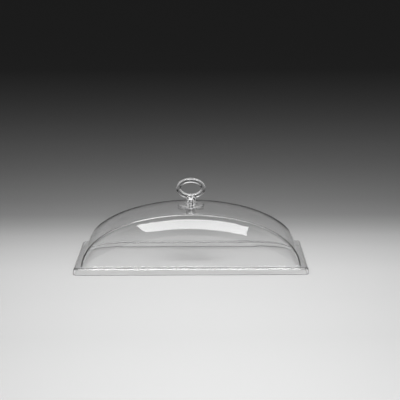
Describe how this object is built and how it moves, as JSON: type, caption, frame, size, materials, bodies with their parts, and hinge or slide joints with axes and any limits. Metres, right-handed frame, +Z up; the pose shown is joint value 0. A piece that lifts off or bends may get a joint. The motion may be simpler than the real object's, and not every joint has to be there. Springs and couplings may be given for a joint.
{
  "type": "food cover",
  "caption": "Clear acrylic food cover with an arched crown, leaning walls, a flanged rim and a clear oval ring handle screwed through the top.",
  "frame": {"origin": "on the table under the middle of the cover, in the plane of the rim's lower edge", "axes": "+X along the cover's long side to the right as pictured, +Y towards the back, +Z up through the handle"},
  "size_m": [0.53, 0.325, 0.1955],
  "materials": {
    "clear_acrylic": "polished, clear",
    "clear_handle": "polished, clear",
    "clear_silicone": "soft, clear",
    "insert_metal": "turned, bright",
    "stainless_steel": "bright"
  },
  "bodies": {
    "root": {"cover_shell": "clear_acrylic", "ring_handle": "clear_handle", "handle_gasket": "clear_silicone", "soft_washer": "clear_silicone", "threaded_insert": "insert_metal", "flat_washer": "stainless_steel", "fixing_screw": "stainless_steel"}
  },
  "joints": []
}
